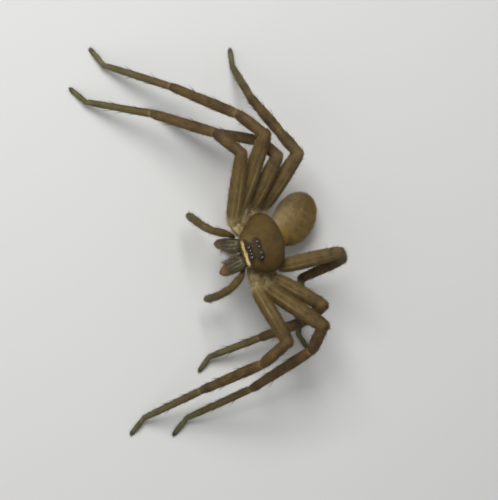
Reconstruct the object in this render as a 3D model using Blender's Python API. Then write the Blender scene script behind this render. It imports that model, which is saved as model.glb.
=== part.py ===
# Huntsman spider, a grown female, as a still life-size model with its legs spread to the sides.
# It stands on a level floor: all eight feet rest at z = 0, and the spider faces -Y.
import bpy
import bmesh
from math import asin, cos, pi, radians, sin, sqrt, tan
from mathutils import Matrix, Vector

for old in list(bpy.data.objects):
    bpy.data.objects.remove(old, do_unlink=True)

MM = 0.001
GAP = 0.3                 # clear space between two pieces that meet, in mm

# All sizes below are in millimetres and all angles in degrees.

# The front body. In its own axes x points ahead, y to the spider's left and z to its back.
BODY_PLACE = (5.458, 7.286, 9.20)
BODY_YAW = 9.4            # turned to its left
BODY_PITCH = 42.0         # head raised
BODY_ROLL = -8.1          # right side raised
CARAPACE_LENGTH = 9.6
CARAPACE_WIDTH = 9.8
CARAPACE_HEIGHT = 3.2
CARAPACE_RIM = 0.35       # thickness below the rim
CARAPACE_REAR = 0.93      # how much shorter its rear half is than its front half

STERNUM_CENTRE = (-0.35, 0.0, -1.5)
STERNUM_LENGTH = 5.1
STERNUM_WIDTH = 4.2
STERNUM_HEIGHT = 1.5

# The lip and the two jaw plates beside it, just behind the chelicerae.
MOUTH_FRONT = 2.85
MOUTH_DEPTH = 0.55
MOUTH_WIDTH = 2.7
MOUTH_LEVELS = (-1.0, -2.9)

# Each coxa with its trochanter starts at the sternum's side and ends where the femur starts.
# Places are (x, y) of the start, then of the end, with y counted outward from the middle.
COXA_LEVEL = -1.5
COXA_RADIUS = 0.90
COXA_STARTS = {1: (1.9, 2.5), 2: (0.3, 2.75), 3: (-1.3, 2.65), 4: (-2.8, 2.1)}
COXA_ENDS = {
    "right": {1: (2.90, 5.06), 2: (0.53, 6.12), 3: (-2.89, 5.61), 4: (-5.67, 4.81)},
    "left": {1: (2.58, 6.22), 2: (0.22, 6.92), 3: (-2.64, 6.45), 4: (-5.01, 5.12)},
}

# Lengths of femur, patella, tibia, metatarsus and tarsus. The radius in the middle of each is one
# for the four last on all legs, and the femur's own on each pair, the second pair being stoutest.
LEG_LENGTHS = {
    1: (11.8, 5.3, 11.4, 12.0, 3.6),
    2: (13.9, 5.5, 12.2, 12.5, 3.7),
    3: (11.4, 4.4, 9.2, 9.2, 3.1),
    4: (13.7, 4.1, 8.9, 9.8, 3.3),
}
FEMUR_RADII = {1: 1.22, 2: 1.34, 3: 1.24, 4: 1.26}
LEG_RADII = (0.99, 0.88, 0.60, 0.42)
FOOT_LEVEL = 0.28         # height of the tarsus tip's middle, so that its underside is a flat
ANKLE_LEVEL = 1.30
KNEE_ROUND = 0.8          # how far a knee's outer side reaches, in limb radii

# The pose of each leg: (heading, slope) of femur, patella and tibia, then the headings of
# metatarsus and tarsus, whose slopes follow from the ankle and foot levels.
LEG_POSE = {
    "right_1": ((161, 28), (-146, -23), (-125, -33), -118, -147),
    "right_2": ((149.8, 31), (-145.7, -26), (-131, -30), -126, -157),
    "right_3": ((145, 44), (-152, -40), (-118, -34), -129, -119),
    "right_4": ((139.4, 50), (-155, -6), (-162, -38), -179, 170),
    "left_1": ((9, 40), (-62, -23), (-79, -33), -76, -53),
    "left_2": ((36, 48), (-32, -43), (-69, -32), -78, -52),
    "left_3": ((41, 50), (-58, -41), (-81, -44), -83, -49),
    "left_4": ((91, 56), (28, -68), (-76, -47), -14, 21),
}

# Palps: the start in the front body's axes, for the left side, then their segments.
PALP_COXA = ((2.35, 2.5, -2.75), (4.3, 3.45, -2.0))
PALP_LENGTHS = (3.3, 1.9, 2.6, 4.6)
PALP_RADII = (0.68, 0.70, 0.68, 0.62)
PALP_POSE = {
    "right": ((-117, 30), (-135, -31), (-153, -62), (-167, -78)),
    "left": ((-61, 33), (-71, -33), (-76, -62), (-74, -82)),
}

CHELICERA_LENGTH = 4.9
CHELICERA_HALF_WIDTH = 1.12
CHELICERA_HALF_DEPTH = 0.98
CHELICERA_START = (4.08, 1.22, -0.62)
CHELICERA_LEAN = {"right": (-0.06, 0.21, -1.0), "left": (0.16, 0.23, -1.0)}
FANG_LENGTH = 2.3
FANG_RADIUS = 0.30

# Eyes: name, how far behind the face, distance from the middle, height over the rim (None where
# the eye sits on the dome), and diameter.
EYES = {
    "front_middle": (0.0, 0.27, 1.60, 0.42),
    "front_side": (0.0, 0.84, 1.52, 0.60),
    "back_middle": (0.90, 0.50, None, 0.46),
    "back_side": (1.02, 1.30, None, 0.56),
}

# The hind body hangs behind, swung to the spider's right.
ABDOMEN_CENTRE = (3.274, 14.36, 4.15)
ABDOMEN_LENGTH = 9.4
ABDOMEN_WIDTH = 6.8
ABDOMEN_HEIGHT = 6.2
ABDOMEN_HEADING = 136.0
ABDOMEN_SLOPE = -3.0
ABDOMEN_BEND = 0.3        # how far its front end is drawn over to the pedicel
PEDICEL_RADIUS = 0.55
PEDICEL_START = (-3.4, 0.0, -1.5)
PEDICEL_BEND = (-4.6, 1.4, -1.45)

COLOURS = {
    "carapace": (0.066, 0.052, 0.026),
    "legs": (0.085, 0.068, 0.040),
    "abdomen": (0.140, 0.120, 0.085),
    "fangs": (0.020, 0.012, 0.010),
    "eyes": (0.006, 0.006, 0.008),
}

collection = bpy.data.collections.new("huntsman_spider")
bpy.context.scene.collection.children.link(collection)

BODY_FRAME = (
    Matrix.Translation(BODY_PLACE)
    @ Matrix.Rotation(radians(BODY_YAW - 90), 4, "Z")
    @ Matrix.Rotation(radians(-BODY_PITCH), 4, "Y")
    @ Matrix.Rotation(radians(BODY_ROLL), 4, "X")
)


def in_body(x, y, z):
    return BODY_FRAME @ Vector((x, y, z))


def make_material(name, roughness):
    material = bpy.data.materials.new(name)
    material.use_nodes = True
    shader = material.node_tree.nodes["Principled BSDF"]
    shader.inputs["Base Color"].default_value = (*COLOURS[name], 1.0)
    shader.inputs["Roughness"].default_value = roughness
    shader.inputs["Metallic"].default_value = 0.0
    return material


MATERIALS = {
    "carapace": make_material("carapace", 0.55),
    "legs": make_material("legs", 0.70),
    "abdomen": make_material("abdomen", 0.80),
    "fangs": make_material("fangs", 0.30),
    "eyes": make_material("eyes", 0.10),
}


def loft(name, rings, material):
    # One closed body through rings of equal point counts, with flat ends.
    mesh = bpy.data.meshes.new(name)
    shape = bmesh.new()
    rows = [[shape.verts.new(point * MM) for point in ring] for ring in rings]
    count = len(rows[0])
    for lower, upper in zip(rows, rows[1:]):
        for i in range(count):
            j = (i + 1) % count
            shape.faces.new((lower[i], lower[j], upper[j], upper[i]))
    shape.faces.new(rows[0][::-1])
    shape.faces.new(rows[-1])
    bmesh.ops.recalc_face_normals(shape, faces=shape.faces)
    shape.to_mesh(mesh)
    shape.free()
    mesh.shade_smooth()
    mesh.set_sharp_from_angle(angle=radians(50))
    mesh.materials.append(MATERIALS[material])
    item = bpy.data.objects.new(name, mesh)
    collection.objects.link(item)
    return item


def heading(azimuth, slope):
    a = radians(azimuth)
    e = radians(slope)
    return Vector((cos(a) * cos(e), sin(a) * cos(e), sin(e)))


def round_ring(centre, direction, radius, sides, flatten=1.0):
    side = direction.cross(Vector((0, 0, 1))).normalized()
    up = side.cross(direction).normalized()
    turns = [2 * pi * i / sides for i in range(sides)]
    return [centre + side * cos(t) * radius + up * sin(t) * radius * flatten for t in turns]


def cut_to_plane(ring, outward, point, normal, radius):
    # Moves each point along the limb to the plane that halves a joint's bend, but on the bend's
    # outer side no further than KNEE_ROUND radii past the joint, so that a knee isn't pointed.
    cut = []
    for p in ring:
        slide = (point - p).dot(normal) / outward.dot(normal)
        cut.append(p + outward * min(slide, KNEE_ROUND * radius))
    return cut


def limb(name, joints, shapes, sides, material, before=None, after=None, tip=0.0):
    # A limb through its joints. shapes holds, for each length, (share of the way, radius) pairs.
    # before and after are the neighbours' directions: the ends are cut to meet them face to face,
    # half a gap short of the joint. tip is the radius of a rounded free end.
    ways = [(b - a).normalized() for a, b in zip(joints, joints[1:])]
    rings = []
    for i, way in enumerate(ways):
        start = joints[i]
        end = joints[i + 1]
        span = (end - start).length
        last = i == len(ways) - 1
        first_way = before if i == 0 and before else (ways[i - 1] if i else way)
        next_way = ways[i + 1] if not last else (after or way)
        lean_in = (way + first_way).normalized()
        lean_out = (way + next_way).normalized()
        widest = max(radius for share, radius in shapes[i])
        reach_in = widest * tan(way.angle(lean_in)) + 0.25
        reach_out = widest * tan(way.angle(lean_out)) + 0.25
        for share, radius in shapes[i]:
            ring = round_ring(start + way * span * share, way, radius, sides)
            if share == 0.0:
                if i > 0:
                    continue
                ring = cut_to_plane(ring, -way, start + lean_in * GAP / 2, lean_in, radius)
            elif share == 1.0 and not last:
                ring = cut_to_plane(ring, way, end, lean_out, 9.0)
            elif share == 1.0 and after:
                ring = cut_to_plane(ring, way, end - lean_out * GAP / 2, lean_out, radius)
            elif share == 1.0:
                ring = round_ring(end, way, radius, sides)
            elif span * share < reach_in or span * (1 - share) < reach_out:
                continue
            rings.append(ring)
    if tip:
        end = joints[-1]
        rings.append(round_ring(end + ways[-1] * tip * 0.6, ways[-1], tip * 0.75, sides))
        rings.append(round_ring(end + ways[-1] * tip, ways[-1], tip * 0.3, sides))
    rings = [[Vector((p.x, p.y, max(p.z, 0.0))) for p in ring] for ring in rings]
    return loft(name, rings, material)


def half_width(share):
    # Half the carapace's width: a round thorax that narrows to the head.
    thorax = sqrt(max(0.0, 1 - (abs(share + 0.12) / 0.88) ** 2.6)) if share < -0.12 else 1.0
    head = 1.0 - 0.47 * (max(0.0, share + 0.12) / 1.12) ** 1.45
    return CARAPACE_WIDTH / 2 * min(thorax, head)


def dome_height(share):
    # Height over the rim: a short slope behind, a level back and a steep face.
    behind = sqrt(max(0.0, 1 - (abs(min(share, -0.15) + 0.15) / 0.85) ** 2.0))
    ahead = 1 - 0.10 * max(0.0, share) - 0.30 * max(0.0, (share - 0.80) / 0.20) ** 2
    return CARAPACE_HEIGHT * min(behind, ahead)


CARAPACE_SHARES = (-0.99, -0.96, -0.88, -0.74, -0.52, -0.26, 0.0, 0.26, 0.48, 0.66, 0.80, 0.90, 0.97, 1.0)
CARAPACE_UPPER = 18
CARAPACE_LOWER = 8


def make_carapace():
    rings = []
    for share in CARAPACE_SHARES:
        x = share * CARAPACE_LENGTH / 2 * (CARAPACE_REAR if share < 0 else 1.0)
        wide = half_width(share)
        high = dome_height(share)
        ring = []
        for i in range(CARAPACE_UPPER):
            t = pi * i / CARAPACE_UPPER
            ring.append(in_body(x, wide * cos(t), high * sin(t) ** 0.9))
        for i in range(CARAPACE_LOWER):
            t = pi + pi * i / CARAPACE_LOWER
            ring.append(in_body(x, wide * cos(t), CARAPACE_RIM * sin(t)))
        rings.append(ring)
    loft("carapace", rings, "carapace")


def make_sternum():
    # A plate between the coxae, square-shouldered, rounder below.
    rings = []
    for level, size in ((0.5, 0.90), (0.2, 1.0), (-0.25, 0.97), (-0.5, 0.80)):
        ring = []
        for i in range(24):
            t = 2 * pi * i / 24
            x = abs(cos(t)) ** 0.8 * (1 if cos(t) > 0 else -1)
            y = abs(sin(t)) ** 0.8 * (1 if sin(t) > 0 else -1)
            ring.append(in_body(
                STERNUM_CENTRE[0] + x * STERNUM_LENGTH / 2 * size,
                y * STERNUM_WIDTH / 2 * size,
                STERNUM_CENTRE[2] + level * STERNUM_HEIGHT,
            ))
        rings.append(ring)
    loft("sternum", rings, "carapace")


def make_mouthparts():
    # Upright plates: two lobes beside a small middle one, widest at half height.
    low, high = MOUTH_LEVELS[1], MOUTH_LEVELS[0]
    rings = []
    for share, size in ((0.0, 0.45), (0.15, 0.80), (0.45, 1.0), (0.75, 0.94), (1.0, 0.70)):
        ring = []
        for i in range(20):
            t = 2 * pi * i / 20
            lobes = 1 + 0.22 * cos(3 * t - pi)
            ring.append(in_body(
                MOUTH_FRONT - MOUTH_DEPTH / 2 * (1 - cos(t) * lobes * size * 0.8),
                sin(t) * MOUTH_WIDTH / 2 * size,
                low + (high - low) * share,
            ))
        rings.append(ring)
    loft("mouthparts", rings, "carapace")


def eye_place(depth, side):
    # The point of the carapace's face over (x, y), pushed out along the face.
    share = 1.0 - depth / (CARAPACE_LENGTH / 2)
    wide = half_width(share)
    high = dome_height(share)
    lift = high * max(0.0, 1 - (side / wide) ** 2) ** 0.45
    return Vector((share * CARAPACE_LENGTH / 2, side, lift))


def make_eyes():
    for label, (depth, side, level, size) in EYES.items():
        for flank, sign in (("left", 1), ("right", -1)):
            radius = size / 2
            if level is None:
                base = eye_place(depth, side)
                outward = Vector((0.35, 0.35 * side / 1.45, 1.0)).normalized()
            else:
                base = Vector((CARAPACE_LENGTH / 2, side, level))
                outward = Vector((1.0, 0.0, 0.0))
            base.y *= sign
            outward.y *= sign
            rings = []
            for share, grow in ((0.0, 0.90), (0.35, 1.0), (0.75, 0.88), (1.15, 0.55), (1.3, 0.2)):
                middle = BODY_FRAME @ (base + outward * (GAP / 2 + share * radius))
                way = (BODY_FRAME.to_3x3() @ outward).normalized()
                rings.append(round_ring(middle, way, radius * grow, 12))
            loft(f"eye_{label}_{flank}", rings, "eyes")


def make_leg(flank, number):
    name = f"{flank}_{number}"
    sign = 1 if flank == "left" else -1
    femur, patella, tibia, metatarsus_heading, tarsus_heading = LEG_POSE[name]
    root = COXA_STARTS[number]
    end = COXA_ENDS[flank][number]
    start = in_body(root[0], root[1] * sign, COXA_LEVEL)
    hip = in_body(end[0], end[1] * sign, COXA_LEVEL)
    lengths = LEG_LENGTHS[number]
    r = (FEMUR_RADII[number], *LEG_RADII)
    knee = hip + heading(*femur) * lengths[0]
    patella_end = knee + heading(*patella) * lengths[1]
    wrist = patella_end + heading(*tibia) * lengths[2]
    drop = asin((ANKLE_LEVEL - wrist.z) / lengths[3])
    ankle = wrist + heading(metatarsus_heading, drop * 180 / pi) * lengths[3]
    reach = lengths[4] - r[4]
    fall = asin((FOOT_LEVEL - ankle.z) / reach)
    foot = ankle + heading(tarsus_heading, fall * 180 / pi) * reach
    ways = [(b - a).normalized() for a, b in zip(
        (start, hip, knee, patella_end, wrist, ankle), (hip, knee, patella_end, wrist, ankle, foot))]
    thick = COXA_RADIUS
    limb(f"leg_{name}_coxa", [start, hip],
         [((0.0, 0.62), (0.30, thick), (0.62, thick * 0.97), (0.74, thick * 0.84),
           (0.86, thick * 0.92), (1.0, r[0] * 0.72))],
         10, "legs", before=None, after=ways[1])
    limb(f"leg_{name}_femur", [hip, knee],
         [((0.0, r[0] * 0.72), (0.10, r[0] * 0.92), (0.30, r[0] * 1.03), (0.60, r[0]),
           (0.86, r[0] * 0.91), (1.0, r[0] * 0.78))],
         12, "legs", before=ways[0], after=ways[2])
    limb(f"leg_{name}_tibia", [knee, patella_end, wrist],
         [((0.0, r[1] * 0.88), (0.30, r[1]), (0.70, r[1]), (1.0, r[1] * 0.88)),
          ((0.0, 0.0), (0.15, r[2] * 1.02), (0.50, r[2]), (0.88, r[2] * 0.86), (1.0, r[2] * 0.74))],
         12, "legs", before=ways[1], after=ways[4])
    limb(f"leg_{name}_foot", [wrist, ankle, foot],
         [((0.0, r[3] * 1.02), (0.15, r[3] * 1.06), (0.55, r[3]), (0.90, r[3] * 0.86),
           (1.0, r[3] * 0.76)),
          ((0.0, 0.0), (0.25, r[4] * 1.06), (0.65, r[4]), (1.0, r[4] * 0.98))],
         10, "legs", before=ways[3], tip=r[4])


def make_palp(flank):
    sign = 1 if flank == "left" else -1
    femur, patella, tibia, tarsus = PALP_POSE[flank]
    (ax, ay, az), (bx, by, bz) = PALP_COXA
    start = in_body(ax, ay * sign, az)
    hip = in_body(bx, by * sign, bz)
    joints = [hip]
    for pose, length in zip((femur, patella, tibia, tarsus), PALP_LENGTHS):
        joints.append(joints[-1] + heading(*pose) * length)
    r = PALP_RADII
    limb(f"palp_{flank}_base", [start, hip, joints[1]],
         [((0.0, 0.40), (0.5, 0.46), (1.0, 0.46)),
          ((0.0, 0.0), (0.35, r[0]), (0.75, r[0] * 0.98), (1.0, r[0] * 0.88))],
         10, "legs", after=heading(*patella))
    limb(f"palp_{flank}_tip", joints[1:],
         [((0.0, r[1] * 0.88), (0.5, r[1]), (1.0, r[1] * 0.92)),
          ((0.0, 0.0), (0.5, r[2]), (1.0, r[2] * 0.92)),
          ((0.0, 0.0), (0.30, r[3] * 1.05), (0.75, r[3] * 0.96), (0.93, r[3] * 0.75))],
         10, "legs", before=heading(*femur), tip=r[3] * 0.62)


def make_chelicera(flank):
    sign = 1 if flank == "left" else -1
    turn = BODY_FRAME.to_3x3()
    lean = Vector(CHELICERA_LEAN[flank]).normalized()
    lean.y *= sign
    way = (turn @ lean).normalized()
    x, y, z = CHELICERA_START
    start = in_body(x, y * sign, z)
    forward = (turn @ Vector((1.0, 0.0, 0.0)))
    deep = (forward - way * forward.dot(way)).normalized() * CHELICERA_HALF_DEPTH
    wide = way.cross(deep).normalized() * CHELICERA_HALF_WIDTH
    rings = []
    for share, grow in ((0.0, 0.80), (0.08, 0.97), (0.30, 1.05), (0.60, 0.96), (0.85, 0.78),
                        (0.96, 0.58), (1.0, 0.34)):
        middle = start + way * CHELICERA_LENGTH * share
        turns = [2 * pi * i / 14 for i in range(14)]
        rings.append([middle + (deep * cos(t) + wide * sin(t)) * grow for t in turns])
    loft(f"chelicera_{flank}", rings, "fangs")
    # The fang: a cone that curls back and inward below the chelicera's end.
    inward = (turn @ Vector((-0.85, -0.45 * sign, -0.15))).normalized()
    root = start + way * (CHELICERA_LENGTH + GAP)
    joints = []
    for i in range(6):
        share = i / 5
        bend = share * share
        joints.append(root + way * FANG_LENGTH * (0.42 * share - 0.30 * bend)
                      + inward * FANG_LENGTH * (0.25 * share + 0.50 * bend))
    rings = []
    for i, point in enumerate(joints):
        ahead = joints[min(i + 1, 5)]
        behind = joints[max(i - 1, 0)]
        rings.append(round_ring(point, (ahead - behind).normalized(), FANG_RADIUS * (1 - 0.17 * i), 8))
    loft(f"fang_{flank}", rings, "fangs")


def abdomen_axes():
    way = heading(ABDOMEN_HEADING, ABDOMEN_SLOPE)
    side = way.cross(Vector((0, 0, 1))).normalized()
    up = side.cross(way).normalized()
    return way, side, up


def make_abdomen():
    way, side, up = abdomen_axes()
    centre = Vector(ABDOMEN_CENTRE)
    rings = []
    count = 24
    for i in range(1, 16):
        # The oval shape, blunt at both ends.
        t = pi * i / 16
        along = -cos(t)
        swell = sin(t) ** 0.92
        middle = centre + way * along * ABDOMEN_LENGTH / 2 - up * 0.25 * along * along
        middle -= side * ABDOMEN_BEND * min(0.0, along) ** 2
        ring = []
        for j in range(count):
            a = 2 * pi * j / count
            wide = ABDOMEN_WIDTH / 2 * swell * cos(a)
            tall = ABDOMEN_HEIGHT / 2 * swell * sin(a) * (1.0 if sin(a) > 0 else 0.92)
            ring.append(middle + side * wide + up * tall)
        rings.append(ring)
    loft("abdomen", rings, "abdomen")


def make_pedicel():
    # The narrow stalk from behind the sternum, under the carapace's rear rim, to the abdomen.
    way, side, up = abdomen_axes()
    face = Vector(ABDOMEN_CENTRE) - way * ABDOMEN_LENGTH / 2 * cos(pi / 16) - up * 0.25
    face -= side * ABDOMEN_BEND
    start = in_body(*PEDICEL_START)
    bend = in_body(*PEDICEL_BEND)
    r = PEDICEL_RADIUS
    last = (face - bend).normalized()
    mirrored = way * 2 * last.dot(way) - last
    limb("pedicel", [start, bend, face - way * GAP / 2],
         [((0.0, r * 0.9), (0.5, r), (1.0, r)), ((0.0, 0.0), (0.5, r), (1.0, r * 1.05))],
         10, "abdomen", after=mirrored)


def make_spinnerets():
    # Two pairs of short cones, joined at their roots, below the abdomen's rear end.
    way, side, up = abdomen_axes()
    root = Vector(ABDOMEN_CENTRE) + way * ABDOMEN_LENGTH * 0.4 - up * ABDOMEN_HEIGHT * 0.375
    out = (way * 0.75 - up * 0.65).normalized()
    across = side.cross(out)
    rings = []
    for share, wide, tall in ((0.0, 0.75, 0.55), (0.35, 0.80, 0.60), (0.7, 0.62, 0.45), (1.0, 0.35, 0.25)):
        ring = []
        for j in range(14):
            a = 2 * pi * j / 14
            lobes = 1 + 0.14 * cos(4 * a)
            ring.append(root + out * 1.3 * share + side * wide * lobes * cos(a) + across * tall * lobes * sin(a))
        rings.append(ring)
    loft("spinnerets", rings, "abdomen")



make_carapace()
make_sternum()
make_mouthparts()
make_eyes()
for number in (1, 2, 3, 4):
    for flank in ("right", "left"):
        make_leg(flank, number)
for flank in ("right", "left"):
    make_palp(flank)
    make_chelicera(flank)
make_pedicel()
make_abdomen()
make_spinnerets()
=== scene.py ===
# Looks of the huntsman spider: a haired skin over the solids' space, with its spines, eyes,
# jaws and claws. Lengths are in millimetres and angles in degrees until a mesh is made.
from math import asin, cos, degrees, pi, radians, sin, tan

import bpy
import numpy as np
from mathutils import Matrix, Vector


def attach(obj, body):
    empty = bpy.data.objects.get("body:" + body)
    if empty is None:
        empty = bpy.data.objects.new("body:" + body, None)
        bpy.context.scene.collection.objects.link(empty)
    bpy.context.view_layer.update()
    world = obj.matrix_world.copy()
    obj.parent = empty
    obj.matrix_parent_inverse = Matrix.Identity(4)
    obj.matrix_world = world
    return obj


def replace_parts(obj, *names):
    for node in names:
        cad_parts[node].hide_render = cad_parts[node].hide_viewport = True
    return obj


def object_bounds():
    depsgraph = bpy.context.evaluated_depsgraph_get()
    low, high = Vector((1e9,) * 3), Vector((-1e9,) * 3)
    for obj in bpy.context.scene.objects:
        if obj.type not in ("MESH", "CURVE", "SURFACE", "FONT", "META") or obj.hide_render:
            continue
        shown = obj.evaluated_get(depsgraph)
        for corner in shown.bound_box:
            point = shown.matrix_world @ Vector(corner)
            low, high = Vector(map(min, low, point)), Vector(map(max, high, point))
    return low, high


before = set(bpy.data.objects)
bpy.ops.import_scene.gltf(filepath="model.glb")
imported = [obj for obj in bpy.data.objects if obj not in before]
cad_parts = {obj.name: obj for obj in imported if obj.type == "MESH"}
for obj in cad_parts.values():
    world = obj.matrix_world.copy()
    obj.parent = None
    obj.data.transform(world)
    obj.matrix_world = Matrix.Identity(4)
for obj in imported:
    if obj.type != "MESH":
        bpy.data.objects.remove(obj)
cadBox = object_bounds()
mm = 0.001
print("frame loaded:", len(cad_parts), "solids")


# Small helpers on arrays of points.

def unit(vectors):
    # Each vector divided by its own length.
    return vectors / np.maximum(np.linalg.norm(vectors, axis=-1, keepdims=True), 1e-9)


def circle(sides):
    # Evenly spaced angles once round, in radians.
    return 2 * pi * np.arange(sides) / sides


def offTurn(turn, middle):
    # How far a turn in degrees is from the middle, the short way round.
    return (turn - middle + 180) % 360 - 180


def heading(azimuth, slope):
    # A direction from its compass angle about +Z and its slope over the floor.
    a, e = radians(azimuth), radians(slope)
    return np.array((cos(a) * cos(e), sin(a) * cos(e), sin(e)))


def crossAxes(way):
    # The two directions square to a limb: level side, and the side that faces up.
    side = unit(np.cross(way, (0.0, 0.0, 1.0)))
    return side, np.cross(side, way)


def hump(x, middle, spread):
    # A bell of height 1 at the middle, falling off over the spread.
    return np.exp(-((x - middle) / spread) ** 2)


def stepUp(x, low, high):
    # 0 below low, 1 above high, and a smooth rise between.
    t = np.clip((x - low) / (high - low), 0.0, 1.0)
    return t * t * (3 - 2 * t)


def through(keys, at):
    # A smooth curve through (place, value) keys: a cubic on each stretch, with slopes that are
    # those of the line between a key's neighbours.
    x, y = np.array(keys, float).T
    slope = np.gradient(y, x)
    i = np.clip(np.searchsorted(x, at, side="right") - 1, 0, len(x) - 2)
    h = x[i + 1] - x[i]
    t = np.clip((at - x[i]) / h, 0.0, 1.0)
    rise = t * t * (3 - 2 * t)
    bends = slope[i] * t * (1 - t) ** 2 - slope[i + 1] * t * t * (1 - t)
    return y[i] * (1 - rise) + y[i + 1] * rise + h * bends


def blotches(points, size, seed):
    # Soft mottling between 0 and 1: three products of slow waves in slanted directions.
    x, y, z = np.moveaxis(points / size + seed * np.array((3.1, 5.7, 1.9)), -1, 0)
    a = np.sin(x * 2.1 + 1.7 * np.sin(y * 1.3)) * np.sin(y * 1.9 + z)
    b = np.sin(y * 2.7 + 1.3 * np.sin(z * 1.7 + 1)) * np.sin(x * 1.6 - z * 1.1)
    c = np.sin(z * 2.3 + x * 1.2) * np.sin(y * 3.1 - 0.7)
    return np.clip(0.5 + 0.28 * (a + b + c), 0.0, 1.0)


def tube(path, side, other, thick, sides):
    # Rings about a path: the radius times the cosine of the turn to one side, its sine to the other.
    turn = circle(sides)
    thick = np.reshape(thick, (-1, 1))
    return (path[:, None, :] + np.atleast_2d(side)[:, None] * (thick * np.cos(turn))[..., None]
            + np.atleast_2d(other)[:, None] * (thick * np.sin(turn))[..., None])


def ovoid(middle, axes, rings, sides, pole):
    # Minus the cosine of t along the first axis, and its sine times the turn's cosine and sine
    # along the other two, for t from pole to pole.
    t = np.linspace(pole, pi - pole, rings)[:, None, None]
    a = circle(sides)[None, :, None]
    first, second, third = np.asarray(axes, float)
    return middle - first * np.cos(t) + second * (np.sin(t) * np.cos(a)) + third * (np.sin(t) * np.sin(a))


# Shader maths as plain sums.

class Wire:
    # One output of a node. An operator on it adds a Math node and gives that node's output.
    def __init__(self, shop, socket):
        self.shop = shop
        self.socket = socket

    def math(self, operation, other):
        return self.shop.node("ShaderNodeMath", {"operation": operation}, {0: self, 1: other})

    def __add__(self, other):
        return self.math("ADD", other)

    def __mul__(self, other):
        return self.math("MULTIPLY", other)

    __radd__ = __add__
    __rmul__ = __mul__

    def clip(self, low, high):
        # 0 at low, 1 at high, a straight rise between.
        return self.shop.node("ShaderNodeMapRange", {"clamp": True},
                              {"Value": self, "From Min": low, "From Max": high})


class Shop:
    # Builds one material: its nodes, and its Principled shader's fixed values.
    def __init__(self, name, **fixed):
        self.material = bpy.data.materials.new(name)
        self.material.use_nodes = True
        self.tree = self.material.node_tree
        self.shader = self.tree.nodes["Principled BSDF"]
        for socket, value in fixed.items():
            self.shader.inputs[socket.replace("_", " ")].default_value = value

    def node(self, kind, settings=None, values=None, out=0):
        made = self.tree.nodes.new(kind)
        for key, value in (settings or {}).items():
            setattr(made, key, value)
        for key, value in (values or {}).items():
            self.put(made.inputs[key], value)
        return Wire(self, made.outputs[out])

    def put(self, socket, value):
        if isinstance(value, Wire):
            self.tree.links.new(value.socket, socket)
        else:
            socket.default_value = value

    def feed(self, socket, value):
        self.put(self.shader.inputs[socket], value)

    def mark(self, name):
        return self.node("ShaderNodeAttribute", {"attribute_name": name}, out="Fac")

    def place(self):
        return self.node("ShaderNodeTexCoord", out="Object")

    def noise(self, vector, scale, detail, rough=0.5):
        return self.node("ShaderNodeTexNoise", {},
                         {"Vector": vector, "Scale": scale, "Detail": detail, "Roughness": rough})

    def stretched(self, scales):
        # The skin's map of millimetres, stretched by a number each way.
        flat = self.node("ShaderNodeUVMap", {"uv_map": "lie"})
        return self.node("ShaderNodeVectorMath", {"operation": "MULTIPLY"}, {0: flat, 1: scales})

    def blend(self, share, first, second):
        # A Mix node's inputs 0, 6 and 7 are its factor and two colours, its output 2 the colour.
        return self.node("ShaderNodeMix", {"data_type": "RGBA"}, {0: share, 6: first, 7: second}, 2)

    def mottled(self, scale, detail, first, second):
        # One colour in soft blotches of another.
        return self.blend(self.noise(self.place(), scale, detail).clip(0.3, 0.7), first, second)

    def bump(self, height, distance, strength):
        self.feed("Normal", self.node("ShaderNodeBump", {}, {
            "Height": height, "Distance": distance, "Strength": strength}))


def seen(red, green, blue):
    # A colour given as it looks on screen, 0 to 255, turned to light.
    return tuple(((v / 255 + 0.055) / 1.055) ** 2.4 for v in (red, green, blue)) + (1.0,)


# Camera, light and floor, in the photograph's view: 498 x 500 pixels, looking down on the spider,
# whose head is to the left of the picture.

view = {
    "right": (0.269, 0.963, 0.0),   # the picture's right, along the floor
    "up": (-0.963, 0.269, 0.0),     # the picture's top, along the floor
    "lean": 9.0,                    # how far the camera leans to the picture's left
    "target": (6.208, 6.736, 0.0),  # the floor's point in the middle of the picture
    "distance": 420.0,
    "width": 79.68,                 # what the picture's width takes in at the floor
    "sensor": 36.0,
}
studio = {
    # Where from: the picture's right, the picture's top, towards the camera.
    "keyLamp": {"from": (-0.22, 0.55, 1.0), "power": 0.80, "size": 150.0},
    "fillLamp": {"from": (-0.9, -0.5, 0.9), "power": 0.27, "size": 320.0},
    "distance": 300.0,
    "skyColour": (1.0, 1.0, 1.0, 1.0),
    "skyStrength": 0.27,
    "floorColour": (0.60, 0.60, 0.585, 1.0),
    "floorSize": 3000.0,
}


def stand(name, data, side, top, back, distance):
    # Puts a camera or lamp at a distance from the target, with its own three axes.
    holder = bpy.data.objects.new(name, data)
    place = (np.array(view["target"]) + back * distance) * mm
    rows = np.vstack((np.column_stack((side, top, back, place)), (0, 0, 0, 1)))
    holder.matrix_world = Matrix(rows.tolist())
    bpy.context.scene.collection.objects.link(holder)
    return holder


def makeCamera():
    # Looks at the target from the lean's side. Its lens takes in the width at the floor's distance.
    right = unit(np.array(view["right"]))
    back = unit(np.array((0.0, 0.0, 1.0)) - right * tan(radians(view["lean"])))
    right = unit(right - back * (right @ back))
    camera = bpy.data.cameras.new("camera")
    camera.sensor_width = view["sensor"]
    camera.sensor_fit = "HORIZONTAL"
    camera.lens = view["sensor"] * view["distance"] / view["width"]
    camera.clip_start = 0.01
    camera.clip_end = 10.0
    bpy.context.scene.camera = stand("camera", camera, right, np.cross(back, right), back, view["distance"])


def makeLamp(name):
    # A square lamp that looks at the middle of the picture.
    look = studio[name]
    axes = unit(np.array((view["right"], view["up"], (0.0, 0.0, 1.0))))
    way = unit(np.array(look["from"]) @ axes)
    lamp = bpy.data.lights.new(name, "AREA")
    lamp.energy = look["power"]
    lamp.size = look["size"] * mm
    stand(name, lamp, *crossAxes(-way), way, studio["distance"])


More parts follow.
